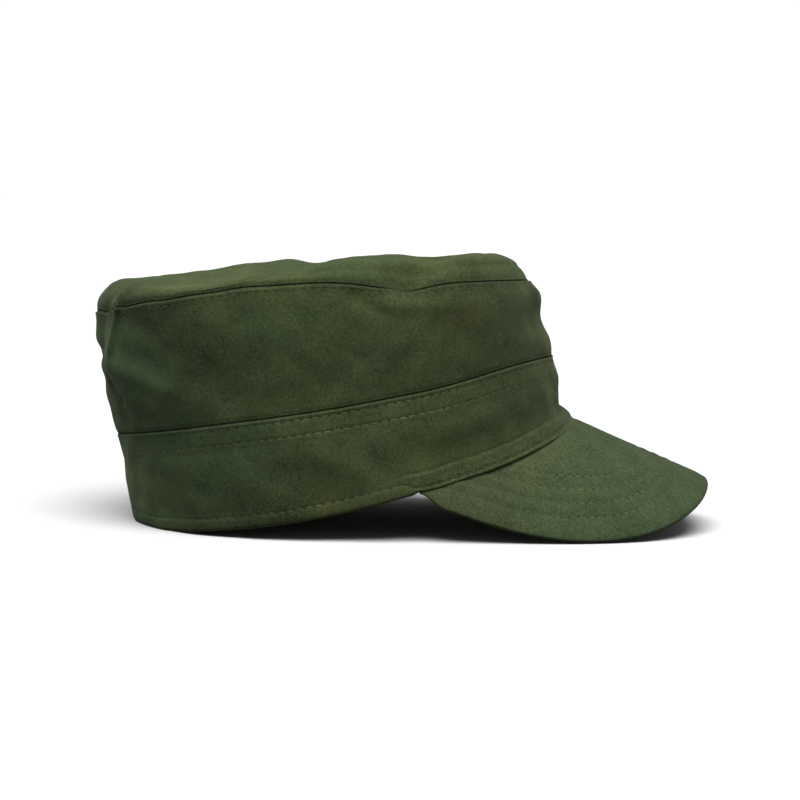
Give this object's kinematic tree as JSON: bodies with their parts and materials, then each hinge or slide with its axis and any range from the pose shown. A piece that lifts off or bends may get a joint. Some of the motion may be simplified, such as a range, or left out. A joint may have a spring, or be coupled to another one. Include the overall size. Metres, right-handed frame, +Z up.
{
  "type": "military cap",
  "caption": "Soft olive field cap with a flat oval top, a tall side wall, a lower band and a curved stitched peak, open below for the head.",
  "frame": {"origin": "centre of the footprint, on the surface that the cap lies on", "axes": "+Z up, the peak points to -Y, the wearer's right side faces -X"},
  "size_m": [0.173, 0.2914, 0.1287],
  "materials": {
    "crown_cloth": "matte cotton twill",
    "band_cloth": "matte cotton twill",
    "peak_cloth": "matte cotton twill, stitched in rows"
  },
  "bodies": {
    "root": {"crown_top": "crown_cloth", "crown_side": "crown_cloth", "lower_band": "band_cloth", "peak": "peak_cloth"}
  },
  "joints": []
}
